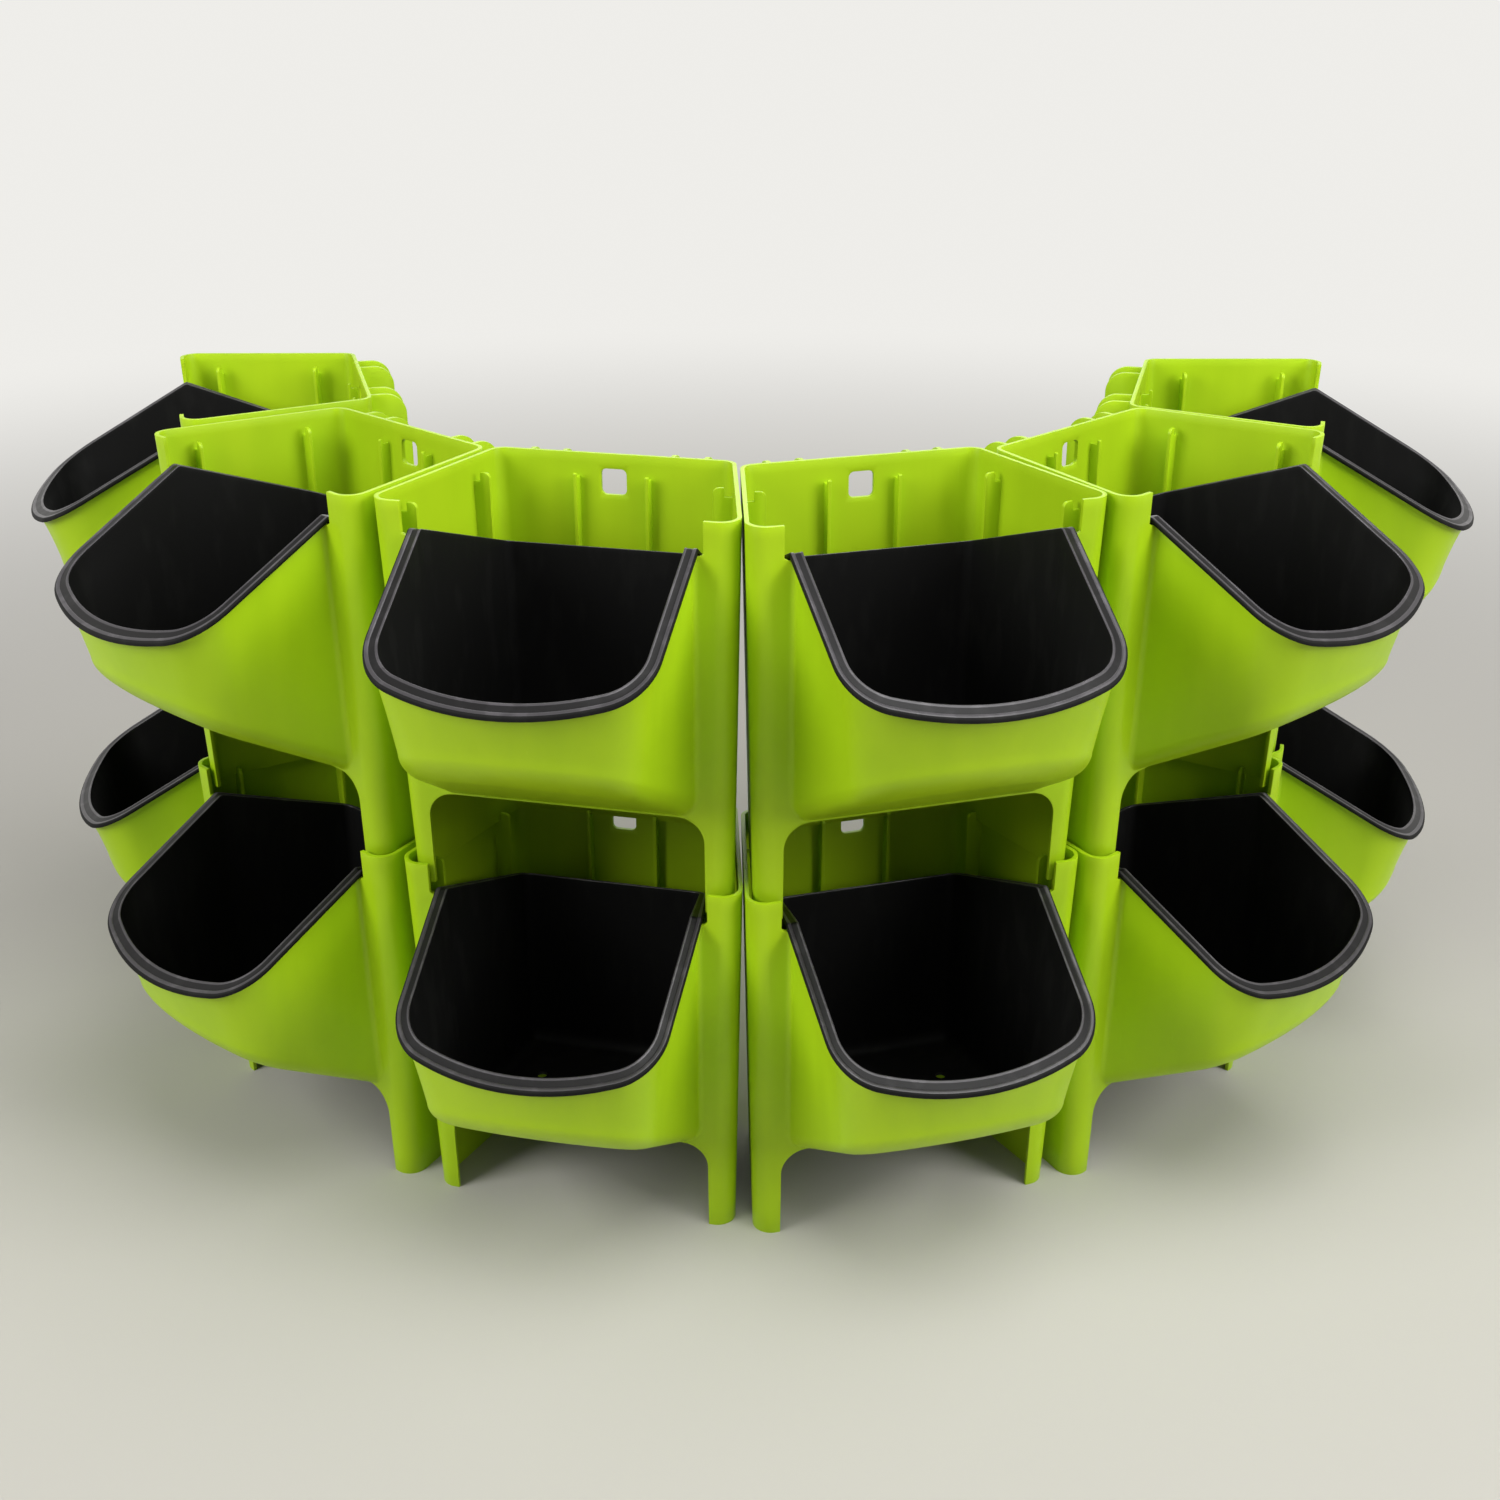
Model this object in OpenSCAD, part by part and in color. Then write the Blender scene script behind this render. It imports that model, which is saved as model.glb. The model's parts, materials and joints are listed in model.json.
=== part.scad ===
// Half ring of stacking planters. Each unit is a wedge-shaped shell, open above and below, with
// a scoop in front and a loose liner pot in it. In a unit's own frame the back wall stands on
// y = 0, the scoop points to +Y and the feet stand on z = 0.

/* [Ring] */
// Columns that stand side by side
columns = 6; // [2:1:8]
// Units that would close the whole ring
ring_units = 12; // [10:1:16]
// Gap between the sides of neighbouring columns
column_gap = 3.1; // [2.6:0.1:12]

/* [Shell] */
// Width across the rounded front columns
unit_w = 184; // [181:1:212]
// Height of one unit
unit_h = 210; // [200:1:240]
// Depth from the back wall to the face of the columns
unit_d = 109; // [100:1:125]
// Thickness of the shell's walls
wall_t = 2.2; // [1.8:0.1:2.6]
// Outer radius of the front columns
column_r = 10; // [8:0.5:14]
// Outer radius of the back corners
corner_r = 9; // [7:0.5:14]
// Width left open between the columns
notch_w = 151.6; // [149.6:0.2:153.6]

/* [Stacking] */
// Depth that a foot goes into the unit below
nest_h = 12.5; // [11:0.5:16]
// Clearance between the foot's sides and the edge that it goes into
nest_clear = 2; // [1.6:0.1:2.2]
// Set-back of the front from the top down to the foot
foot_back = 5; // [4.5:0.5:7]
// Gap left between a foot and the seats that carry it
seat_gap = 0.2; // [0.1:0.1:0.5]

/* [Arch] */
// Height of the arch under the scoop
arch_h = 53.5; // [49.5:0.5:60]
// Width of the arch
arch_w = 147.6; // [146.4:0.2:148.8]
// Radius of the arch's upper corners
arch_r = 14; // [8:1:14]

/* [Scoop] */
// Width of the scoop's upper edge at the front plate
scoop_w = 140.6; // [134:0.2:142]
// Reach of the scoop's upper edge in front
scoop_reach = 200; // [188:0.5:202]
// Lean of the wall between edge and keel: at the plate, at the front corners, in front
scoop_lean = [0.8, 7, 9]; // [0:0.1:12]
// Rounding of the keel: sideways, in front, upwards
keel_round = [10, 16, 12]; // [8:0.5:20]
// Slope of the scoop's underside
under_slope = 30; // [26:1:32]
// Narrowing of the scoop towards its front corners, on each side
scoop_taper = 1.6; // [0:0.2:4]
// Radius of the scoop's front corners
scoop_corner_r = 27; // [24:1:32]
// Radius of the scoop's bowed front
scoop_bow_r = 146; // [125:1:220]

/* [Rim] */
// Depth of the rim's crest under the shell's edge
crest_drop = 13.8; // [13.4:0.2:20]
// Fall of the rim from its crest to the front
rim_fall = 53; // [46:0.5:59]
// Thickness of the rim
rim_t = 2.6; // [2:0.1:4]
// Overhang of the rim: past the scoop's sides, past its front
rim_over = [2.7, 3.5]; // [1.5:0.1:6]
// Gap between the rim and the edge that carries it
rim_gap = 0.3; // [0.2:0.1:0.6]

/* [Liner] */
// Thickness of the liner's walls
liner_t = 1.6; // [1.2:0.1:2.4]
// Gap between liner and scoop
liner_gap = 0.4; // [0.3:0.1:0.8]
// Distance of the rear rim from the back wall
rear_y = 26; // [20:1:36]
// Depth of the rear rim under the crest
rear_sink = 30; // [16:1:41]
// Width of the rear rim
rear_w = 113.4; // [100:0.2:116]
// Corner radius of the rear rim
rear_r = 10; // [6:1:16]
// Overhang of the rear rim
rear_over = 2.7; // [1.5:0.1:4]
// Diameter of the drain holes
drain_d = 6; // [4:0.5:9]
// Spacing of the drain holes
drain_pitch = 34; // [20:1:38]

/* [Fins and holes] */
// Thickness of the inner fins
fin_t = 2; // [1.6:0.1:2.6]
// Reach of the inner fins from the walls: back, sides
fin_reach = [6.5, 10.5]; // [6:0.1:11]
// Height of the inner fins' lower ends
fin_low = 54; // [46:1:90]
// Distance of the inner back fins from the middle
back_fin_x = 19.6; // [16:0.2:24]
// Distances of the inner side fins from the back wall
side_fin_y = [24, 84]; // [22:1:86]
// Depth of the inner fins' tops under the shell's edge: back, sides
fin_drop = [9.8, 7.5]; // [5:0.1:10]
// Thickness of the rear fins
rear_fin_t = 2.6; // [1.6:0.1:3.4]
// Distances of the rear fins from the middle
rear_fin_x = [30, 48]; // [26:0.5:52]
// Reach of the rear fins behind the back wall
rear_reach = 21; // [14:1:28]
// Radius of the rear fins' upper corners
rear_fin_r = 12; // [6:1:13]
// Depth of the rear fins' tops under the shell's edge
rear_drop = 2; // [1:0.5:6]
// Side of the hanging hole, a rounded square
hang_w = 14; // [10:0.5:18]
// Corner radius of the hanging hole
hang_r = 3; // [2:0.5:4]
// Depth of the hanging hole's middle under the shell's edge
hang_drop = 15; // [13:0.5:24]

/* [Hidden] */
tier_names = ["lower", "upper"];

// Hand placing of the columns: outwards, sideways, turn in degrees
placing = [[-14, -10, 0.5], [4, 0, 1.5], [-4, 0, 2], [0, 0, 1.5], [7, 1, -1], [1.5, -4, 0]];

leaf_green = [0.65, 0.79, 0.13];
charcoal = [0.15, 0.15, 0.16];
arc_steps = 5;      // Chords in each rounded corner
keel_steps = 3;     // Rings round the keel
bite = 0.6;         // Depth that a fin is rooted in its wall
slot_clear = 0.4;   // Clearance of a foot in the slots of the fins
over = 1;           // Overshoot of a cut

half_step = 180 / ring_units;
foot_in = wall_t + nest_clear;
slot_w = foot_in + slot_clear;
seat_h = unit_h - nest_h;
tier_rise = seat_h + seat_gap;
crest_h = unit_h - crest_drop;
front_h = crest_h - rim_fall;
rear_h = crest_h - rear_sink;

// Distance of the side walls' outer faces from the middle of the back wall
side_c = (unit_w / 2 - column_r) * cos(half_step) - (unit_d - column_r) * sin(half_step)
    + column_r;
ring_r = (side_c + column_gap / 2) / sin(half_step);

// Where a line t inside the side wall's outer face lies, at distance y from the back wall
function side_x(y, t) = (side_c - t + y * sin(half_step)) / cos(half_step);
function arc(c, r, a, b) =
    [for (i = [0:arc_steps]) let (t = a + (b - a) * i / arc_steps) c + r * [cos(t), sin(t)]];
// Both sides of a plan, from its half at positive x
function whole(half) =
    concat(half, [for (i = [len(half) - 1:-1:0]) if (half[i].x > bite) [-half[i].x, half[i].y]]);
function level(plan, z) = [for (p = plan) [p.x, p.y, z]];

// How far the walls are drawn in at height z: full at the foot, nothing at the shell's edge
function drawn(z) = foot_in * (1 - z / unit_h);
function front_drawn(z) = foot_back * (1 - z / unit_h);

// Plan of the shell at height z, t inside its outer face
function shell_plan(z, t) =
    let (
        front_y = unit_d - front_drawn(z) - column_r,
        back_y = drawn(z) + corner_r
    )
    whole(concat(
        arc([side_x(back_y, back_y), back_y], corner_r - t, -90, -half_step),
        arc([side_x(front_y, drawn(z) + column_r), front_y], column_r - t, -half_step, 90)
    ));

// Front part of a plan: tapered sides from back_y on, rounded corners and a bowed front
function bowl_plan(plate_w, corner_w, reach, r, bow, back_y) =
    let (
        corner = [corner_w - r, reach - bow + sqrt(pow(bow - r, 2) - pow(corner_w - r, 2))],
        lean = atan2(plate_w - corner_w, corner.y - plate_y),
        turn = atan2(corner.y - reach + bow, corner.x)
    )
    concat(
        [[plate_w + (plate_y - back_y) * tan(lean), back_y]],
        arc(corner, r, lean, turn),
        arc([0, reach - bow], bow, turn, 90)
    );

// Inner face of the front plate: at the top, where the rim has its crest, and over the arch
plate_y = unit_d - wall_t;
root_y = plate_y - front_drawn(arch_h);
rim_reach = scoop_reach + rim_over[1];
front_fall = (crest_h - front_h) / (rim_reach - plate_y);
rear_fall = (crest_h - rear_h) / (plate_y - rear_y);

// Side view of the rim's top face, lowered by drop
function rim_line(drop) = [
    [0, crest_h - plate_y * rear_fall - drop],
    [plate_y, crest_h - drop],
    [rim_reach + over, front_h - over * front_fall - drop]
];
// Side view of the edge that carries the rim
edge_line = let (drop = rim_t + rim_gap) [
    [unit_d - column_r, crest_h - drop],
    [plate_y, crest_h - drop],
    [rim_reach + over, front_h - over * front_fall - drop]
];

// Height of the scoop's underside at distance y, t inside it
function under(y, t) = arch_h + (y - root_y) * tan(under_slope) + t / cos(under_slope);

// Ring round the scoop, t inside its outer face. Lean runs from 0 just over the edge to 1 at the
// keel, and a runs from 0 where the keel's rounding starts to 90 on the underside.
function scoop_plan(t, lean, a, back_y) =
    let (side = t + (keel_round[0] - t) * (1 - cos(a)), front = t + (keel_round[1] - t) * (1 - cos(a)))
    whole(bowl_plan(
        scoop_w / 2 - lean * scoop_lean[0] - side,
        scoop_w / 2 - scoop_taper - lean * scoop_lean[1] - side,
        scoop_reach - lean * scoop_lean[2] - front,
        scoop_corner_r - side,
        scoop_bow_r - lean * scoop_lean[2] - front,
        back_y
    ));
function edge_ring(t, back_y) =
    [for (p = scoop_plan(t, 0, 0, back_y))
        [p.x, p.y, edge_line[1].y + over - max(p.y - plate_y, 0) * front_fall]];
function keel_ring(t, a, back_y) =
    [for (p = scoop_plan(t, 1, a, back_y))
        [p.x, p.y, under(p.y, t) + (keel_round[2] - t) * (1 - sin(a))]];

// The two triangles between points i and i + 1 of ring k and of the ring above it. Their
// diagonal runs the other way on the second half of the ring, so both sides match.
function band(k, i, n) =
    let (a = k * n + i, b = k * n + (i + 1) % n)
    i < floor(n / 2) ? [[a, a + n, b + n], [a, b + n, b]] : [[a, a + n, b], [a + n, b + n, b]];

// Solid through rings of equal length, from the lowest to the highest
module loft(rings) {
    n = len(rings[0]);
    last = len(rings) - 1;
    polyhedron(
        points = [for (ring = rings, p = ring) p],
        faces = concat(
            [[for (i = [0:n - 1]) i]],
            [for (k = [0:last - 1], i = [0:n - 1], face = band(k, i, n)) face],
            [[for (i = [n - 1:-1:0]) last * n + i]]
        )
    );
}

// Solid with a given side view, running across the unit
module across(side_view, w) {
    rotate([90, 0, 90]) linear_extrude(w, center = true) polygon(side_view);
}
module above(line) {
    top = 2 * unit_h;
    across(concat(line, [[line[2].x, top], [line[0].x, top]]), notch_w);
}

// Scoop as a solid block, t inside its outer face, open upwards
module scoop_block(t, back_y) {
    loft(concat(
        [for (k = [keel_steps:-1:0]) keel_ring(t, 90 * k / keel_steps, back_y)],
        [edge_ring(t, back_y), level(scoop_plan(t, 0, 0, back_y), unit_h + over)]
    ));
}

// Walls as a solid block, t inside their outer face, going past both ends by past
module wall_block(t, past) {
    loft([for (z = [-past, unit_h + past]) level(shell_plan(z, t), z)]);
}

module arch_cut() {
    translate([0, unit_d + over, 0])
        rotate([90, 0, 0])
            linear_extrude(2 * column_r)
                polygon(whole(concat(
                    [[arch_w / 2, -over]],
                    arc([arch_w / 2 - arch_r, arch_h - arch_r], arch_r, 0, 90)
                )));
}

module hanging_hole() {
    flat = hang_w - 2 * hang_r;
    translate([0, 2 * wall_t, unit_h - hang_drop])
        rotate([90, 0, 0])
            linear_extrude(3 * wall_t) {
                square([hang_w, flat], center = true);
                square([flat, hang_w], center = true);
                for (x = [-flat, flat] / 2, z = [-flat, flat] / 2)
                    translate([x, z]) circle(hang_r, $fn = 32);
            }
}

// Upright fin on an inner wall whose upper edge is at y = 0. The slot beside the wall takes the
// foot of the unit above, and the part beyond it keeps that foot in place.
module inner_fin(reach, drop) {
    top = unit_h - drop;
    r = (reach - slot_w) / 2;
    root = drawn(fin_low);
    across(concat(
        [[root - bite, fin_low], [root, fin_low], [reach, fin_low + reach - root]],
        arc([reach - r, top - r], r, 0, 90),
        [[slot_w, top], [slot_w, seat_h], [drawn(seat_h) - bite, seat_h]]
    ), fin_t);
}

// Fin behind the back wall, rounded at its upper corner
module rear_fin() {
    top = unit_h - rear_drop;
    low = nest_h + rear_fin_r;
    across(concat(
        [[drawn(top) + bite, top]],
        arc([rear_fin_r - rear_reach, top - rear_fin_r], rear_fin_r, 90, 180),
        [[-rear_reach, low + rear_reach], [drawn(low) + bite, low]]
    ), rear_fin_t);
}

module shell() {
    color(leaf_green) {
        difference() {
            union() {
                wall_block(0, 0);
                scoop_block(0, unit_d - column_r);
            }
            wall_block(wall_t, over);
            scoop_block(wall_t, unit_d - column_r);
            above(edge_line);
            arch_cut();
            hanging_hole();
        }
        for (side = [0, 1]) mirror([side, 0, 0]) {
            for (x = rear_fin_x) translate([x, 0, 0]) rear_fin();
            translate([back_fin_x, wall_t, 0]) inner_fin(fin_reach[0], fin_drop[0]);
            for (y = side_fin_y)
                translate([side_x(y, wall_t), y, 0])
                    rotate([0, 0, 90 - half_step]) inner_fin(fin_reach[1], fin_drop[1]);
        }
    }
}

// Rear part of the liner's plan, drawn in by t, up to end_y behind the front plate
function rear_plan(t, end_y) =
    let (r = rear_r - t) concat(
        arc([rear_w / 2 - t - r, rear_y + t + r], r, -90, -half_step),
        [[scoop_w / 2 + rear_over - wall_t - liner_gap - t, end_y]]
    );

// Liner as a solid block, t inside its outer face, open upwards
module liner_block(t) {
    inset = wall_t + liner_gap;
    end_y = root_y - liner_gap;
    floor_h = under(end_y - bite, inset) + t;
    scoop_block(inset + t, end_y - bite);
    translate([0, 0, floor_h])
        linear_extrude(unit_h - floor_h) polygon(whole(rear_plan(rear_over + t, end_y)));
}

// Front part of the rim's outline
rim_half = scoop_w / 2 + rim_over[0];
rim_front = bowl_plan(rim_half, rim_half - scoop_taper, rim_reach, scoop_corner_r + rim_over[0],
    scoop_bow_r + rim_over[1], plate_y);

module liner() {
    rim_plan = whole(concat(rear_plan(0, plate_y - liner_gap), rim_front));
    color(charcoal) difference() {
        union() {
            intersection() {
                linear_extrude(unit_h) polygon(rim_plan);
                above(rim_line(rim_t));
            }
            liner_block(0);
        }
        liner_block(liner_t);
        above(rim_line(0));
        for (x = [-1:1])
            translate([x * drain_pitch, (rear_y + plate_y) / 2, arch_h])
                cylinder(h = column_r, d = drain_d, $fn = 32);
    }
}

// Where point p of a unit in column c lies, from the middle of the ring
function shift(c) = c < len(placing) ? placing[c] : [0, 0, 0];
function bearing(c) = (c - (columns - 1) / 2) * 2 * half_step;
function placed(p, c) =
    let (s = shift(c), a = bearing(c), b = a + s[2])
    [
        (ring_r + s[0]) * sin(a) + s[1] * cos(a) + p.y * sin(b) - p.x * cos(b),
        -(ring_r + s[0]) * cos(a) + s[1] * sin(a) - p.y * cos(b) - p.x * sin(b)
    ];

// Middle of the whole part, from the outlines that reach furthest
outline = concat(
    shell_plan(unit_h, 0),
    whole(rim_front),
    whole([[rear_fin_x[1] + rear_fin_t / 2, -rear_reach]])
);
spread = [for (c = [0:columns - 1], p = outline) placed(p, c)];
function middle(values) = (min(values) + max(values)) / 2;
centre = [middle([for (p = spread) p.x]), middle([for (p = spread) p.y])];

module place(c, tier) {
    s = shift(c);
    translate([-centre.x, -centre.y, tier * tier_rise])
        rotate([0, 0, bearing(c)])
            translate([s[1], -ring_r - s[0], 0])
                rotate([0, 0, 180 + s[2]])
                    children();
}

for (tier = [0, 1], c = [0:columns - 1]) {
    place(c, tier) shell();
    place(c, tier) liner();
}
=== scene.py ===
# Half ring of stacking planters: leaf green moulded shells, two high, with loose charcoal liners
import json
import math

import bmesh
import bpy
from mathutils import Matrix, Vector

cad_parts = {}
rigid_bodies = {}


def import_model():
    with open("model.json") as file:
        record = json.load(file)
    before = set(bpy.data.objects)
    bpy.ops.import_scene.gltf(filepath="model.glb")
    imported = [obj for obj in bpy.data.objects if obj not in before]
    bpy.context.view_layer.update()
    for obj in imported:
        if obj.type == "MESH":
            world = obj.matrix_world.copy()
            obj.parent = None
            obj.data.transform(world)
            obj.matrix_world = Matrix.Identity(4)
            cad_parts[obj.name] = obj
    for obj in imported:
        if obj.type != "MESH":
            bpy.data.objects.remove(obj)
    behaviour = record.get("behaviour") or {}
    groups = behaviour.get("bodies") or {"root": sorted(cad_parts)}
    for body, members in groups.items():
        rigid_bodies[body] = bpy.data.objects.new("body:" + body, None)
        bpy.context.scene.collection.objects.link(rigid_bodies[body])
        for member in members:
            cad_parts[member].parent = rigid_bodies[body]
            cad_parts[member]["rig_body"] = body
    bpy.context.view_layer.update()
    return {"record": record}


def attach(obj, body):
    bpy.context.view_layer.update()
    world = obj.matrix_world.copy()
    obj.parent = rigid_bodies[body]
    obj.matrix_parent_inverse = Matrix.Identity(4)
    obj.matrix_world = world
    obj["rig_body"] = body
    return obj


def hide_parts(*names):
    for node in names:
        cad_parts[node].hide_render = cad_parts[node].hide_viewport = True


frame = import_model()
for o in [o for o in bpy.data.objects if o.type in ("MESH", "LIGHT", "CAMERA") and "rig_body" not in o]:
    bpy.data.objects.remove(o)

# All sizes are millimetres in a unit's own frame: the back wall stands on y = 0, the scoop
# points to +Y and the feet stand on z = 0. unitPlace() brings a finished mesh to its metres.
ringForm = {
    "columns": 6,
    "halfStep": 15,          # half the turn from one column to the next, and the flare of a side
    "columnGap": 3.1,
    # outwards, sideways and turn of each column, as set down by hand
    "placing": [(-14, -10, 0.5), (4, 0, 1.5), (-4, 0, 2), (0, 0, 1.5), (7, 1, -1), (1.5, -4, 0)],
}
shellForm = {
    "width": 184, "height": 210, "depth": 109, "wall": 2.2,
    "columnRadius": 10, "cornerRadius": 9,
    "nest": 12.5, "nestGap": 2, "seatGap": 0.2,    # how a foot stands in the shell below
    "footBack": 5,           # set-back of the front from the top down to the foot
    "notchEdge": 75.8,       # from the middle to the edge of the notch between the columns
    "archHeight": 53.5, "archHalf": 73.8, "archRadius": 14,
    "edgeRound": 0.5,
    "shy": 0.1,              # how far the upper edge stays under the solids' edge
}
scoopForm = {
    "plateHalf": 70.3, "taper": 1.6, "reach": 200, "cornerRadius": 27, "bow": 146,
    "lean": (0.8, 7, 9),     # at the plate, at the front corners, in front
    "keel": (10, 16, 12),    # rounding sideways, in front, upwards
    "slope": 30,             # of the underside
    "blend": (3, 0.8),       # fillet to the front plate, at the side and under the keel
}
rimForm = {
    "crestDrop": 13.8,       # from the shell's edge down to the crest beside the columns
    "frontFall": 53, "rearFall": 30,        # from the crest down to the front and to the rear
    "rearY": 26,
    "thickness": 2.6, "gap": 0.3,           # gap between the rim and the edge that carries it
    "over": (2.7, 3.5, 2.7),                # overhang at the sides, in front and behind
    "shy": 0.05,             # how far the rim stays inside the solids' outline
}
sinStep, cosStep = (f(math.radians(ringForm["halfStep"])) for f in (math.sin, math.cos))
footIn = shellForm["wall"] + shellForm["nestGap"]
seatZ = shellForm["height"] - shellForm["nest"]
tierRise = seatZ + shellForm["seatGap"]
plateY = shellForm["depth"] - shellForm["wall"]
rootY = plateY - shellForm["footBack"] * (1 - shellForm["archHeight"] / shellForm["height"])
sideMiddle = ((shellForm["width"] / 2 - shellForm["columnRadius"]) * cosStep
              - (shellForm["depth"] - shellForm["columnRadius"]) * sinStep + shellForm["columnRadius"])
ringRadius = (sideMiddle + ringForm["columnGap"] / 2) / sinStep
crestZ = shellForm["height"] - rimForm["crestDrop"]
edgeZ = crestZ - rimForm["thickness"] - rimForm["gap"]
frontSlope = rimForm["frontFall"] / (scoopForm["reach"] + rimForm["over"][1] - plateY)
rearSlope = rimForm["rearFall"] / (plateY - rimForm["rearY"])


def steps(start, end, count):
    return [start + (end - start) * i / count for i in range(count + 1)]


def arc(x, y, radius, start, end, count):
    turns = [math.radians(a) for a in steps(start, end, count)]
    return [(x + radius * math.cos(t), y + radius * math.sin(t)) for t in turns]


def line(a, b, count):
    # inner points of the stretch from a to b, without its two ends
    return [tuple(p + (q - p) * i / count for p, q in zip(a, b)) for i in range(1, count)]


def sheetOf(bm, rows, finishes=None):
    # a grid of faces whose corners lie on the given rows of points, with a finish for each strip
    across, up = len(rows[0]) - 1, len(rows) - 1
    grid = bmesh.ops.create_grid(bm, x_segments=across, y_segments=up, size=1)["verts"]
    for face in {face for v in grid for face in v.link_faces}:
        strip = int((face.calc_center_median().y + 1) * up / 2)
        face.material_index = finishes[strip] if finishes else 0
    for v in grid:
        v.co = rows[round((v.co.y + 1) * up / 2)][round((v.co.x + 1) * across / 2)]
    bm.normal_update()


def closedHalves(bm):
    # mirrors a half that ends on x = 0, and closes its seams
    near = 0.01
    bmesh.ops.mirror(bm, geom=bm.verts[:] + bm.edges[:] + bm.faces[:], axis="X", merge_dist=near)
    bmesh.ops.remove_doubles(bm, verts=bm.verts[:], dist=near)
    bmesh.ops.dissolve_degenerate(bm, edges=bm.edges[:], dist=near / 10)
    bm.normal_update()
    bmesh.ops.recalc_face_normals(bm, faces=bm.faces[:])


def objectOf(bm, name):
    mesh = bpy.data.meshes.new(name)
    bm.to_mesh(mesh)
    bm.free()
    made = bpy.data.objects.new(name, mesh)
    bpy.context.scene.collection.objects.link(made)
    return made


def withModifiers(obj):
    # the mesh that obj's modifiers leave, and obj itself removed
    finished = obj.evaluated_get(bpy.context.evaluated_depsgraph_get())
    mesh = bpy.data.meshes.new_from_object(finished)
    bpy.data.objects.remove(obj)
    return mesh


def carve(obj, tool, operation):
    cut = obj.modifiers.new("carve", "BOOLEAN")
    cut.operation, cut.object, cut.solver = operation, tool, "EXACT"


def roundEdges(obj, width):
    edge = obj.modifiers.new("edges", "BEVEL")
    edge.width, edge.segments, edge.use_clamp_overlap = width, 2, True
    edge.limit_method, edge.angle_limit = "ANGLE", math.radians(35)


# Shell: one skin of the outer faces, which Solidify gives its wall

holeForm = {
    "side": 14, "round": 3, "drop": 15,
    "margin": (2, 2.5),      # grid lines this far beside and over it keep the shading even
}


def drawnIn(z):
    # how far the walls and the front lie inside the outline at height z
    share = 1 - z / shellForm["height"]
    return footIn * share, shellForm["footBack"] * share


def sideX(y, inset):
    return (sideMiddle - inset + y * sinStep) / cosStep


def frontFace(z):
    return shellForm["depth"] - drawnIn(z)[1]


def tubeRow(edge):
    # from the middle of the back round the column to the point edge on the front plate
    z, r, b = edge.z, shellForm["columnRadius"], shellForm["cornerRadius"]
    side = drawnIn(z)[0]
    frontY, backY = edge.y - r, side + b
    flare = ringForm["halfStep"]
    corner = arc(sideX(backY, side + b), backY, b, -90, -flare, 8)
    column = arc(sideX(frontY, side + r), frontY, r, -flare, 90, 14)
    beside = (holeForm["side"] / 2 + holeForm["margin"][0], side)
    plan = ([(0, side), beside] + line(beside, corner[0], 5) + corner
            + line(corner[-1], column[0], 5) + column + line(column[-1], edge[:2], 5))
    return [Vector((x, y, z)) for x, y in plan] + [edge]


def underside(y):
    return shellForm["archHeight"] + (y - rootY) * math.tan(math.radians(scoopForm["slope"]))


def scoopEdge(y):
    return edgeZ - max(y - plateY, 0) * frontSlope


def bowlPlan(plateHalf, cornerHalf, reach, radius, bow, startY):
    # half plan from the plate round the corner to the middle of the bowed front
    x, rise = cornerHalf - radius, math.sqrt((bow - radius) ** 2 - (cornerHalf - radius) ** 2)
    y = reach - bow + rise
    lean = math.degrees(math.atan2(plateHalf - cornerHalf, y - plateY))
    turn = math.degrees(math.atan2(rise, x))
    corner = arc(x, y, radius, lean, turn, 16)
    start = (plateHalf - (startY - plateY) * math.tan(math.radians(lean)), startY)
    return [start] + line(start, corner[0], 7) + corner + arc(0, reach - bow, bow, turn, 90, 10)[1:]


def scoopPlan(lean, turn, startY):
    # lean goes from 0 at the edge to 1 at the keel, and turn from 0 where the keel's rounding
    # starts to 90 on the underside
    full, (atPlate, atCorner, inFront) = 1 - math.cos(math.radians(turn)), scoopForm["lean"]
    side, front = (k * full for k in scoopForm["keel"][:2])
    return bowlPlan(
        scoopForm["plateHalf"] - lean * atPlate - side,
        scoopForm["plateHalf"] - scoopForm["taper"] - lean * atCorner - side,
        scoopForm["reach"] - lean * inFront - front,
        scoopForm["cornerRadius"] - side,
        scoopForm["bow"] - lean * inFront - front,
        startY)


def keelHeight(y, inset, turn):
    # height of the keel's rounding, inset inside the shell's outer face
    lift = 1 - math.sin(math.radians(turn))
    return (underside(y) + inset / math.cos(math.radians(scoopForm["slope"]))
            + (scoopForm["keel"][2] - inset) * lift)


def skinRow(lean, turn, height):
    # a row of the front: from the plate round the fillet and along the scoop to its middle
    t, (atSide, atKeel), keel = math.radians(turn), scoopForm["blend"], scoopForm["keel"]
    blend = atSide + (atKeel - atSide) * math.sin(t)
    plate = frontFace(height(plateY))
    plan = scoopPlan(lean, turn, plate + blend)
    away = Vector((math.cos(t) / keel[0], 0, -math.sin(t) / keel[2])).normalized()
    slant = (plan[1][0] - plan[0][0]) / (plan[1][1] - plan[0][1])
    fillet = []
    for a in [math.radians(a) for a in steps(90, 0, 6)[:-1]]:
        y = plate + blend * (1 - math.sin(a))
        flank = Vector((plan[0][0] + (y - plan[0][1]) * slant, y, height(y)))
        fillet.append(flank + away * blend * (1 - math.cos(a)))
    return fillet + [Vector((x, y, height(y))) for x, y in plan]


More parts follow.
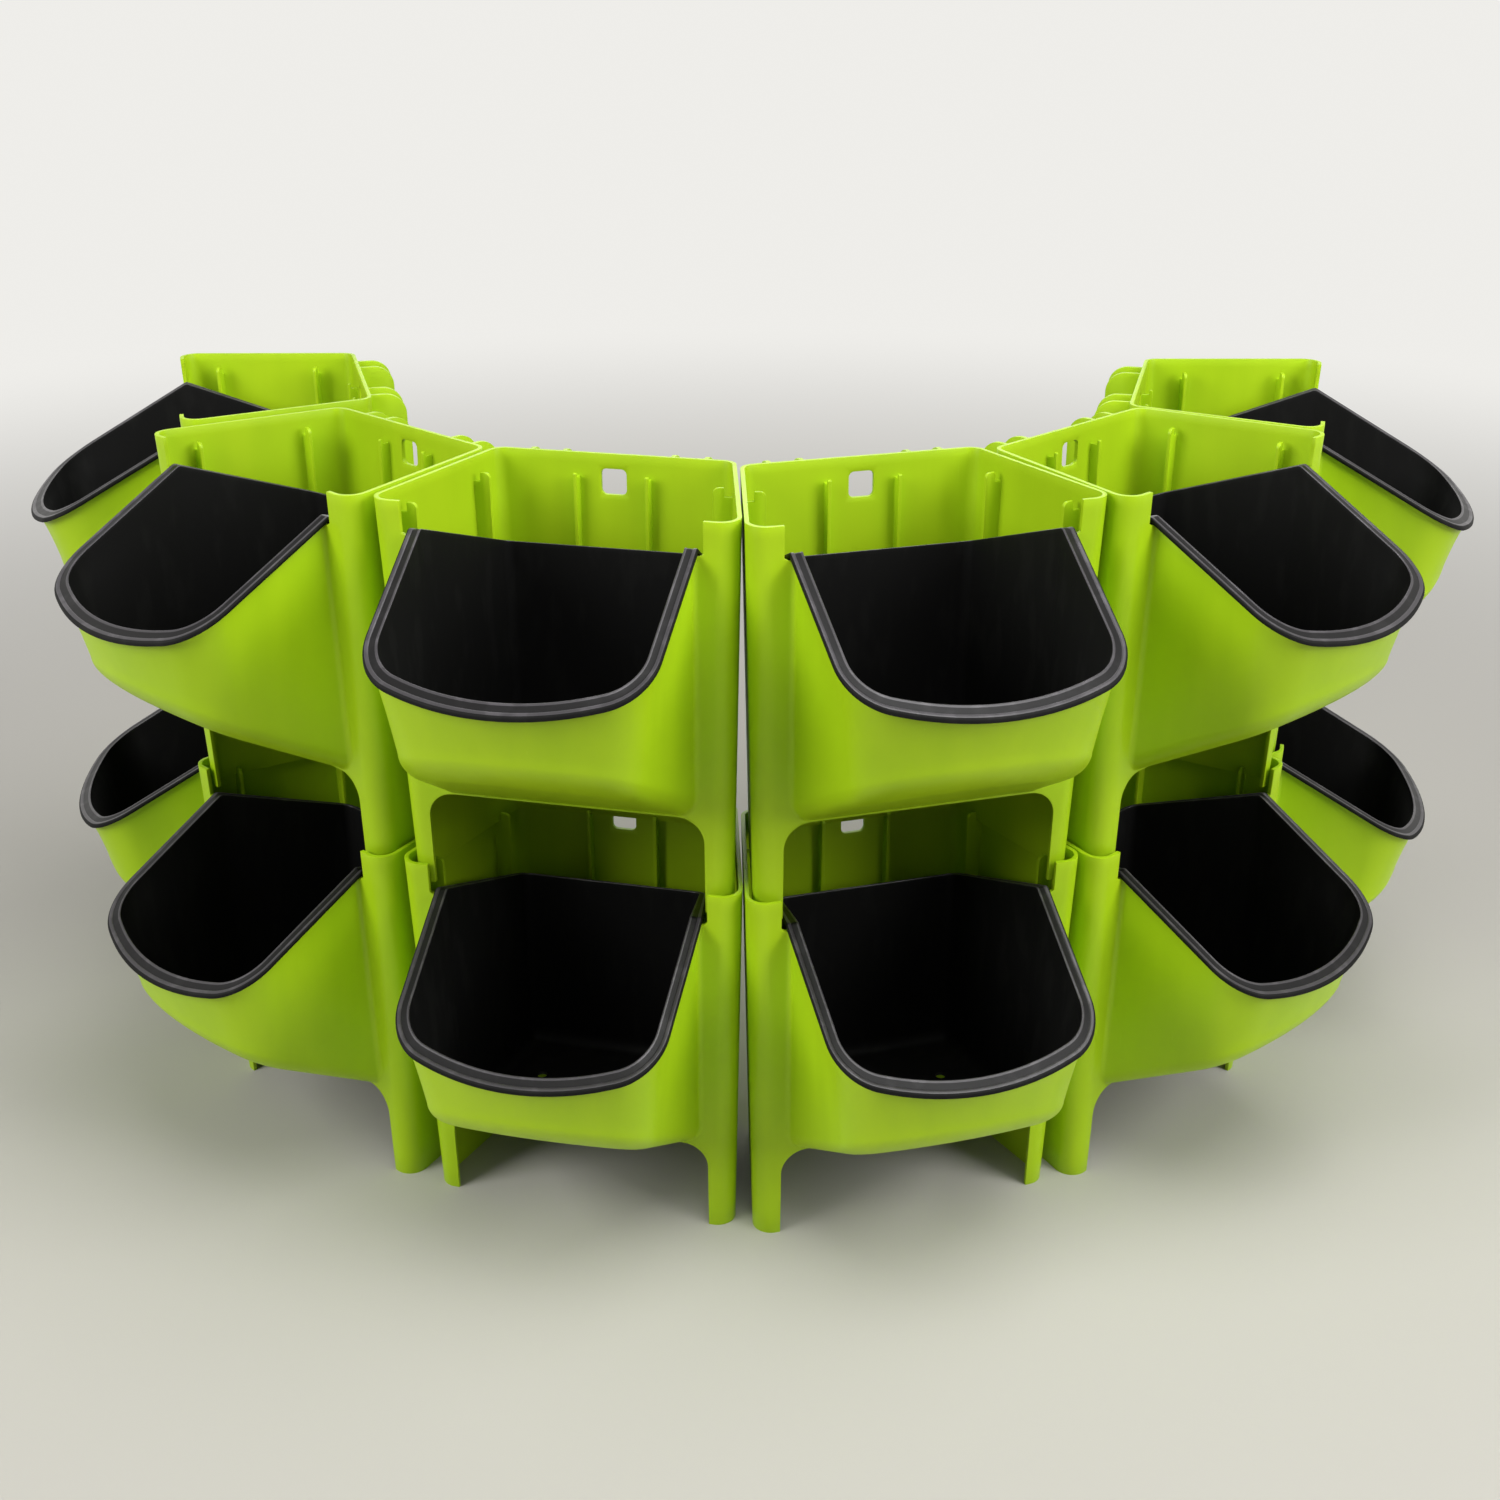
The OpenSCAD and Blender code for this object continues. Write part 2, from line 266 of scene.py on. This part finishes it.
def shellSkin():
    top = shellForm["height"] - shellForm["shy"]
    overHole = shellForm["height"] - holeForm["drop"] + holeForm["side"] / 2 + holeForm["margin"][1]
    springZ, archX = (shellForm[k] - shellForm["archRadius"] for k in ("archHeight", "archHalf"))
    # shares of the way down the scoop's wall; the second row runs just under the hanging hole
    leans = [0, 0.06] + steps(0.13, 1, 8)
    front = [skinRow(lean, 0, lambda y: scoopEdge(y) + (keelHeight(y, 0, 0) - scoopEdge(y)) * lean)
             for lean in leans]
    front += [skinRow(1, turn, lambda y: keelHeight(y, 0, turn)) for turn in steps(0, 90, 12)[1:]]
    # inner edge of the column and plate: leg, arch, scoop and, over the scoop, the notch
    edges = [(shellForm["archHalf"], z) for z in steps(0, springZ, 3)[:-1]]
    edges += arc(archX, springZ, shellForm["archRadius"], 0, 90, 12)
    edges = [Vector((x, frontFace(z), z)) for x, z in edges]
    under = [edges[-1]] + front[-1]
    edges += [row[0] for row in front[::-1]]
    edges += [Vector((shellForm["notchEdge"], frontFace(z), z))
              for z in (edgeZ + shellForm["edgeRound"], overHole, top)]
    bm = bmesh.new()
    sheetOf(bm, [tubeRow(edge) for edge in edges])
    sheetOf(bm, front)
    sheetOf(bm, [[Vector((p.x * w, p.y, p.z)) for p in under] for w in steps(1, 0, 6)])
    closedHalves(bm)
    back = min(bm.faces, key=lambda f: f.calc_center_median().y)
    if back.normal.y > 0:    # the skin is open, so its outside is told by its back
        bmesh.ops.reverse_faces(bm, faces=bm.faces[:])
    return objectOf(bm, "skin")


finForm = {
    "root": 0.6, "round": 0.4,
    "thickness": 2, "low": 54,
    "slotGap": 0.4,          # clearance of a foot in the slot between fin and wall
    "backX": 19.6, "backReach": 6.5, "backDrop": 9.8,
    "sideY": (24, 84), "sideReach": 10.5, "sideDrop": 7.5,
    "rearThickness": 2.6, "rearX": (30, 48), "rearReach": 21, "rearRound": 12, "rearDrop": 2,
}


def innerFin(reach, drop):
    # side view of a fin that stands on an inner wall, with a slot for the foot of the unit above
    low, root, top = finForm["low"], finForm["root"], shellForm["height"] - drop
    slot, wallAt = footIn + finForm["slotGap"], drawnIn(low)[0]
    r = (reach - slot) / 2
    return ([(wallAt - root, low), (wallAt, low), (reach, low + reach - wallAt)]
            + arc(reach - r, top - r, r, 0, 90, 8)
            + [(slot, top), (slot, seatZ), (drawnIn(seatZ)[0] - root, seatZ)])


def rearFin():
    reach, r, root = (finForm[k] for k in ("rearReach", "rearRound", "root"))
    top, low = shellForm["height"] - finForm["rearDrop"], shellForm["nest"] + r
    return ([(drawnIn(top)[0] + root, top)] + arc(r - reach, top - r, r, 90, 180, 12)
            + [(-reach, low + reach), (drawnIn(low)[0] + root, low)])


def slab(bm, sideView, thickness, place):
    # a plate of the given side view (y, z), centred across x, put at place
    face = bm.faces.new([bm.verts.new((-thickness / 2, y, z)) for y, z in sideView])
    grown = bmesh.ops.extrude_face_region(bm, geom=[face])["geom"]
    moved = [v for v in grown if isinstance(v, bmesh.types.BMVert)]
    bmesh.ops.translate(bm, verts=moved, vec=(thickness, 0, 0))
    bmesh.ops.transform(bm, matrix=place, verts=moved + list(face.verts))


def shellFins():
    bm = bmesh.new()
    wall, inward = shellForm["wall"], math.radians(90 - ringForm["halfStep"])
    for side in (1, -1):
        flip = Matrix.Diagonal((side, 1, 1, 1))
        for x in finForm["rearX"]:
            slab(bm, rearFin(), finForm["rearThickness"], flip @ Matrix.Translation((x, 0, 0)))
        slab(bm, innerFin(finForm["backReach"], finForm["backDrop"]), finForm["thickness"],
             flip @ Matrix.Translation((finForm["backX"], wall, 0)))
        for y in finForm["sideY"]:
            slab(bm, innerFin(finForm["sideReach"], finForm["sideDrop"]), finForm["thickness"],
                 flip @ Matrix.Translation((sideX(y, wall), y, 0)) @ Matrix.Rotation(inward, 4, "Z"))
    bmesh.ops.recalc_face_normals(bm, faces=bm.faces[:])
    fins = objectOf(bm, "fins")
    roundEdges(fins, finForm["round"])
    return fins


def hangingHole():
    half, r = holeForm["side"] / 2, holeForm["round"]
    z = shellForm["height"] - holeForm["drop"]
    outline = [p for i, (sx, sz) in enumerate(((1, 1), (-1, 1), (-1, -1), (1, -1)))
               for p in arc(sx * (half - r), z + sz * (half - r), r, 90 * i, 90 * i + 90, 6)]
    bm = bmesh.new()
    slab(bm, outline, 4 * shellForm["wall"], Matrix.Rotation(math.radians(90), 4, "Z"))
    bmesh.ops.recalc_face_normals(bm, faces=bm.faces[:])
    return objectOf(bm, "hole")


def shellMesh():
    skin, fins, hole = shellSkin(), shellFins(), hangingHole()
    wall = skin.modifiers.new("wall", "SOLIDIFY")
    wall.thickness, wall.offset, wall.use_even_offset = shellForm["wall"], -1, True
    carve(skin, hole, "DIFFERENCE")
    roundEdges(skin, shellForm["edgeRound"])
    carve(skin, fins, "UNION")
    mesh = withModifiers(skin)
    for tool in (fins, hole):
        bpy.data.objects.remove(tool)
    return mesh


# Liner: one closed stack of loops, up the outside, over the rim and down the inside

linerForm = {
    "wall": 1.6, "gap": 0.4,
    "rearHalf": 56.7, "rearRadius": 10,
    "crestEase": 1.2,                       # half length over which the rim bends at its crest
    "crestIn": 0.24,                        # how much narrower it is behind the crest
    "drain": 6, "drainPitch": 34, "drill": 30,    # drain holes, and the length of their drill
    # cross section of the rim: share of the way in from its outer edge, height over the rim line
    "rim": [(0.10, -rimForm["thickness"]), (0.03, -2.45), (0, -2.1), (0, -0.8), (0.02, -0.4),
            (0.06, -0.15), (0.11, -0.02), (0.18, 0), (0.28, -0.05), (0.34, -0.2), (0.38, -0.42),
            (0.44, -0.42), (0.50, -0.3), (0.80, -0.25), (0.85, -0.08), (0.89, 0), (0.94, -0.05),
            (0.98, -0.3), (1, -0.8)],
    "paintedHighlightRows": (6, 10, 13, 17),               # where its two light lines, a highlight painted on the rim's raised ridges, start and end
}
neckY = rootY - linerForm["gap"]            # where the rear part ends behind the front plate
rimOver = [over - rimForm["shy"] for over in rimForm["over"]]


def rimLine(y):
    ease, away = linerForm["crestEase"], y - plateY
    if away > ease:
        return crestZ - away * frontSlope
    if away < -ease:
        return crestZ + away * rearSlope
    bend = (rearSlope + frontSlope) * (away * away + ease * ease) / (4 * ease)
    return crestZ - bend + (rearSlope - frontSlope) * away / 2


def linerPlan(side, front, rear, lean, turn):
    # half plan of the liner; side, front and rear are insets from the rim's outer edge
    ease, keel = linerForm["crestEase"], scoopForm["keel"]
    full, (atPlate, atCorner, inFront) = 1 - math.cos(math.radians(turn)), scoopForm["lean"]
    overSide, overFront = rimOver[:2]
    side += (keel[0] + overSide - side) * full
    front += (keel[1] + overFront - front) * full
    rear += (keel[0] - rear) * full
    half = scoopForm["plateHalf"] + overSide - side
    bowl = bowlPlan(
        half - lean * atPlate, half - scoopForm["taper"] - lean * atCorner,
        scoopForm["reach"] + overFront - front - lean * inFront,
        scoopForm["cornerRadius"] + overSide - side,
        scoopForm["bow"] + overFront - front - lean * inFront, plateY + ease)
    r, y = max(linerForm["rearRadius"] - rear, 1), rimForm["rearY"] + rear
    rearX = linerForm["rearHalf"] - rear - r
    corner = arc(rearX, y + r, r, -90, -ringForm["halfStep"], 8)
    crest = (bowl[0][0] - linerForm["crestIn"], plateY - ease)
    back = [(0, y)] + line((0, y), corner[0], 4) + corner + line(corner[-1], crest, 6)
    return back + [crest] + line(crest, bowl[0], 4) + bowl


def linerFloor(y, inset, turn):
    return keelHeight(max(y, neckY), inset, turn)


def linerMesh():
    f = linerForm
    outer = shellForm["wall"] + f["gap"]
    inner = outer + f["wall"]
    overSide, overFront, overRear = rimOver

    def wallRow(inset, lean, turn):
        plan = linerPlan(overSide + inset, overFront + inset, overRear + inset - outer, lean, turn)
        row = []
        for x, y in plan:
            low, high = linerFloor(y, inset, turn), rimLine(y) - rimForm["thickness"]
            row.append(Vector((x, y, high + (low - high) * lean)))
        return row

    def rimRow(share, height):
        insets = (overSide + inner, overFront + inner, overRear + f["wall"])
        plan = linerPlan(*(share * inset for inset in insets), 0, 0)
        return [Vector((x, y, rimLine(y) + height)) for x, y in plan]

    def flat(row):
        # rows of the floor, from its middle line and the middle of its level rear part out to row
        return [[Vector((p.x * w, p.y + max(neckY - p.y, 0) * (1 - w), p.z)) for p in row]
                for w in steps(0, 1, 5)]

    leans, turns = steps(0, 1, 5), steps(0, 90, 8)
    outside = [wallRow(outer, 1, t) for t in turns[::-1]]
    outside += [wallRow(outer, k, 0) for k in leans[::-1]][1:]
    inside = [wallRow(inner, k, 0) for k in leans] + [wallRow(inner, 1, t) for t in turns][1:]
    below = flat(outside[0])[:-1] + outside
    rows = below + [rimRow(*p) for p in f["rim"]] + inside + flat(inside[-1])[::-1][1:]
    # finishes: 0 the pot, 1 the rim's band, 2 its light lines, a lighter colour that paints the
    # highlight on the rim's raised ridges
    start, groove, bead, end = (len(below) + b for b in f["paintedHighlightRows"])
    finishes = [0 if not start <= i < end else 1 if groove <= i < bead else 2
                for i in range(len(rows) - 1)]
    bm = bmesh.new()
    sheetOf(bm, rows, finishes)
    closedHalves(bm)
    pot = objectOf(bm, "pot")
    bm = bmesh.new()
    r, y = f["drain"] / 2, (rimForm["rearY"] + plateY) / 2
    for side in (-1, 0, 1):
        spot = Matrix.Translation((side * f["drainPitch"], y, shellForm["archHeight"]))
        bmesh.ops.create_cone(bm, cap_ends=True, segments=32, radius1=r, radius2=r,
                              depth=f["drill"], matrix=spot)
    drains = objectOf(bm, "drains")
    carve(pot, drains, "DIFFERENCE")
    mesh = withModifiers(pot)
    bpy.data.objects.remove(drains)
    return mesh


# Materials

class Wire:
    # one socket of a material's nodes, so that shader maths reads as plain expressions
    def __init__(self, tree, socket=None):
        self.tree, self.socket = tree, socket

    def node(self, kind, values, settings=(), out=0):
        made = self.tree.nodes.new("ShaderNode" + kind)
        for name, value in dict(settings).items():
            setattr(made, name, value)
        for name, value in values.items():
            if isinstance(value, Wire):
                self.tree.links.new(value.socket, made.inputs[name])
            else:
                made.inputs[name].default_value = value
        return Wire(self.tree, made.outputs[out])

    def maths(self, operation, first, second):
        return self.node("Math", {0: first, 1: second}, {"operation": operation})

    def __add__(self, other):
        return self.maths("ADD", self, other)

    def __mul__(self, other):
        return self.maths("MULTIPLY", self, other)

    def __sub__(self, other):
        return self.maths("SUBTRACT", self, other)

    def __rsub__(self, other):
        return self.maths("SUBTRACT", other, self)

    __radd__, __rmul__ = __add__, __mul__

    def blend(self, low, high):
        # colour between low and high, by this value
        return self.node("Mix", {0: self, 6: low, 7: high}, {"data_type": "RGBA"}, out=2)

    def between(self, low, high):
        # 0 under low, 1 over high, smooth in between
        return self.node("MapRange", {"Value": self, "From Min": low, "From Max": high},
                         {"interpolation_type": "SMOOTHSTEP"})


def newMaterial(name):
    material = bpy.data.materials.new(name)
    material.use_nodes = True
    tree = material.node_tree
    return material, Wire(tree), tree.nodes["Principled BSDF"]


def noiseOf(wire, place, scale, detail=2, stretch=(1, 1, 1)):
    spot = wire.node("Mapping", {"Vector": place, "Scale": stretch})
    return wire.node("TexNoise", {"Vector": spot, "Scale": scale, "Detail": detail})


def feed(wire, shader, **sockets):
    for name, value in sockets.items():
        socket = shader.inputs[name.replace("_", " ")]
        if isinstance(value, Wire):
            wire.tree.links.new(value.socket, socket)
        else:
            socket.default_value = value


shellFinish = {
    "green": (0.400, 0.600, 0.009, 1), "deep": (0.350, 0.545, 0.007, 1),
    "scuffed": (0.50, 0.69, 0.055, 1), "roughness": (0.36, 0.46), "gloss": 0.25,
    # the patterns in cycles a metre, and the values between which they come in
    "cloud": 9, "flow": 60, "mottleIn": (0.35, 0.65),
    "scratch": 420, "scratchIn": (0.66, 0.78), "worn": 35, "wornIn": (0.52, 0.70),
    "scuffing": 0.35, "dulling": 0.12,      # how much worn places change in colour and in gloss
    "grain": 1500, "grainDepth": 0.00002, "grainStrength": 0.35,
}


def mouldGrain(wire, place, finish):
    return wire.node("Bump", {"Strength": finish["grainStrength"], "Distance": finish["grainDepth"],
                              "Height": noiseOf(wire, place, finish["grain"])})


def shellPlastic():
    material, wire, shader = newMaterial("satin_leaf_green_plastic")
    f, place = shellFinish, wire.node("TexCoord", {}, out=3)
    cloud = noiseOf(wire, place, f["cloud"], 3)
    flow = noiseOf(wire, place, f["flow"], 3, (1, 1, 0.12))
    scratch = noiseOf(wire, place, f["scratch"], 4, (1, 1, 0.06)).between(*f["scratchIn"])
    worn = noiseOf(wire, place, f["worn"]).between(*f["wornIn"]) * scratch
    colour = (cloud * 0.7 + flow * 0.3).between(*f["mottleIn"]).blend(f["deep"], f["green"])
    low, high = f["roughness"]
    feed(wire, shader,
         Base_Color=(worn * f["scuffing"]).blend(colour, f["scuffed"]),
         Roughness=cloud * (high - low) + low + worn * f["dulling"],
         Normal=mouldGrain(wire, place, f), IOR=1.5, Specular_IOR_Level=f["gloss"])
    return material


linerFinish = {
    "pot": {"dark": (0.0042, 0.0042, 0.0040, 1), "light": (0.0068, 0.0068, 0.0064, 1),
            "roughness": (0.55, 0.68), "gloss": 0.12},
    "band": {"dark": (0.004, 0.0037, 0.004, 1), "light": (0.009, 0.0085, 0.009, 1),
             "roughness": (0.36, 0.48), "gloss": 0.2},
    # the light lines: a lighter colour painted on the rim's raised ridges as their highlight
    "line": {"dark": (0.030, 0.027, 0.031, 1), "light": (0.060, 0.055, 0.061, 1),
             "roughness": (0.30, 0.42), "gloss": 0.5},
    "cloud": 14, "rubbed": 90, "rubbedIn": (0.45, 0.7), "mottleIn": (0.2, 0.8), "polish": 0.05,
    "grain": 1800, "grainDepth": 0.00002, "grainStrength": 0.3,
}


def linerPlastic(part):
    material, wire, shader = newMaterial("charcoal_plastic_" + part)
    f, tone, place = linerFinish, linerFinish[part], wire.node("TexCoord", {}, out=3)
    cloud = noiseOf(wire, place, f["cloud"], 3)
    rubbed = noiseOf(wire, place, f["rubbed"], 3, (1, 1, 0.3)).between(*f["rubbedIn"])
    mottle = (cloud * 0.4 + rubbed * 0.6).between(*f["mottleIn"])
    low, high = tone["roughness"]
    feed(wire, shader,
         Base_Color=mottle.blend(tone["dark"], tone["light"]),
         Roughness=cloud * (high - low) + low - rubbed * f["polish"],
         Normal=mouldGrain(wire, place, f), IOR=1.5, Specular_IOR_Level=tone["gloss"])
    return material


# Placing

pieceForm = {"sharpFrom": 38}    # turn from which an edge is shaded as a sharp one


def unitPlace(column, tier):
    away, sideways, turn = ringForm["placing"][column]
    bearing = (column - (ringForm["columns"] - 1) / 2) * 2 * ringForm["halfStep"]
    return (Matrix.Scale(0.001, 4) @ Matrix.Translation((0, 0, tier * tierRise))
            @ Matrix.Rotation(math.radians(bearing), 4, "Z")
            @ Matrix.Translation((sideways, -ringRadius - away, 0))
            @ Matrix.Rotation(math.radians(180 + turn), 4, "Z"))


def addPiece(master, node, body, materials, place):
    mesh = master.copy()
    mesh.name = node + "_moulded"
    mesh.transform(place)
    mesh.polygons.foreach_set("use_smooth", [True] * len(mesh.polygons))
    mesh.set_sharp_from_angle(angle=math.radians(pieceForm["sharpFrom"]))
    for material in materials:
        mesh.materials.append(material)
    piece = bpy.data.objects.new(node + "_moulded", mesh)
    bpy.context.scene.collection.objects.link(piece)
    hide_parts(node)
    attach(piece, body)


shellMaster = shellMesh()
print("shell modelled:", len(shellMaster.polygons), "faces")
linerMaster = linerMesh()
print("liner modelled:", len(linerMaster.polygons), "faces")
shellMaterials = [shellPlastic()]
# the "line" finish is a painted highlight on the rim's raised ridges
linerMaterials = [linerPlastic(part) for part in ("pot", "band", "line")]

# The ring's middle lies where the outermost shells and rims centre the whole part
unplaced = [unitPlace(c, 0) @ v.co for c in range(ringForm["columns"])
            for m in (shellMaster, linerMaster) for v in m.vertices]
spans = [[p[i] for p in unplaced] for i in (0, 1)]
middle = Vector([-(min(span) + max(span)) / 2 for span in spans] + [0])

bodyOf = {node: body for body, nodes in frame["record"]["behaviour"]["bodies"].items() for node in nodes}
for tier, row in enumerate(("lower", "upper")):
    for column in range(ringForm["columns"]):
        spot = Matrix.Translation(middle) @ unitPlace(column, tier)
        for part, master, materials in (("shell", shellMaster, shellMaterials),
                                        ("liner", linerMaster, linerMaterials)):
            node = f"{row}_{part}_{column + 1}"
            addPiece(master, node, bodyOf[node], materials, spot)
print("units placed:", 2 * ringForm["columns"])


# Floor, lamps and camera

studioForm = {
    "floor": (0.47, 0.455, 0.42, 1), "size": 30,
    "fade": (0.6, 2.4),      # between these distances the floor goes over into the backdrop
    "ambient": 0.13, "sky": (1, 0.995, 0.98, 1), "backdrop": (0.86, 0.85, 0.82, 1),
    # name, place, target, width, height, watts
    "lamps": [("overhead", (0.35, -0.45, 1.75), (0.05, -0.1, 0.2), 1.3, 1.0, 20),
              ("left_fill", (-1.5, -0.9, 1.2), (0, -0.05, 0.2), 1.0, 1.0, 28),
              ("right_fill", (1.5, -0.9, 1.2), (0, -0.05, 0.2), 1.0, 1.0, 28),
              ("back_fill", (0, 1.7, 1.3), (0, 0, 0.2), 1.2, 1.0, 9)],
    "lens": 44.69, "sensor": 36, "cameraPlace": (0.0015, -0.98203, 0.66254), "cameraDown": 23.94,
}


def seenRay(wire):
    # 1 for rays that see the studio itself, straight or in a gloss or through glass
    path = wire.node("LightPath", {})
    straight, gloss, glass = (Wire(wire.tree, path.socket.node.outputs[f"Is {name} Ray"])
                              for name in ("Camera", "Glossy", "Transmission"))
    return wire.maths("MAXIMUM", wire.maths("MAXIMUM", straight, gloss), glass)


def backdrop():
    f = studioForm
    bm = bmesh.new()
    bmesh.ops.create_grid(bm, x_segments=1, y_segments=1, size=f["size"] / 2)
    floor = objectOf(bm, "floor")
    material, wire, shader = newMaterial("pale_floor")
    place, black = wire.node("TexCoord", {}, out=3), (0, 0, 0, 1)
    far = wire.node("VectorMath", {0: place}, {"operation": "LENGTH"}, out=1).between(*f["fade"])
    feed(wire, shader, Base_Color=far.blend(f["floor"], black), Roughness=0.8, Specular_IOR_Level=0,
         Emission_Color=(far * seenRay(wire)).blend(black, f["backdrop"]), Emission_Strength=1)
    floor.data.materials.append(material)


def softbox(name, place, target, width, height, power):
    light = bpy.data.lights.new(name, "AREA")
    light.shape, light.size, light.size_y, light.energy = "RECTANGLE", width, height, power
    lamp = bpy.data.objects.new(name, light)
    lamp.location = place
    lamp.rotation_euler = (Vector(target) - Vector(place)).to_track_quat("-Z", "Y").to_euler()
    bpy.context.scene.collection.objects.link(lamp)


def studio():
    f, scene = studioForm, bpy.context.scene
    backdrop()
    for lamp in f["lamps"]:
        softbox(*lamp)
    world = bpy.data.worlds.new("studio")
    world.use_nodes = True
    wire, sky = Wire(world.node_tree), world.node_tree.nodes["Background"]
    sky.inputs["Color"].default_value, sky.inputs["Strength"].default_value = f["sky"], f["ambient"]
    seen = wire.node("Background", {"Color": f["backdrop"], "Strength": 1})
    both = wire.node("MixShader", {0: seenRay(wire), 1: Wire(wire.tree, sky.outputs[0]), 2: seen})
    wire.tree.links.new(both.socket, world.node_tree.nodes["World Output"].inputs["Surface"])
    scene.world = world
    camera = bpy.data.objects.new("camera", bpy.data.cameras.new("camera"))
    camera.data.lens, camera.data.sensor_width = f["lens"], f["sensor"]
    camera.location = f["cameraPlace"]
    camera.rotation_euler = (math.radians(90 - f["cameraDown"]), 0, 0)
    scene.collection.objects.link(camera)
    scene.camera = camera
    scene.view_settings.view_transform = "Standard"


studio()
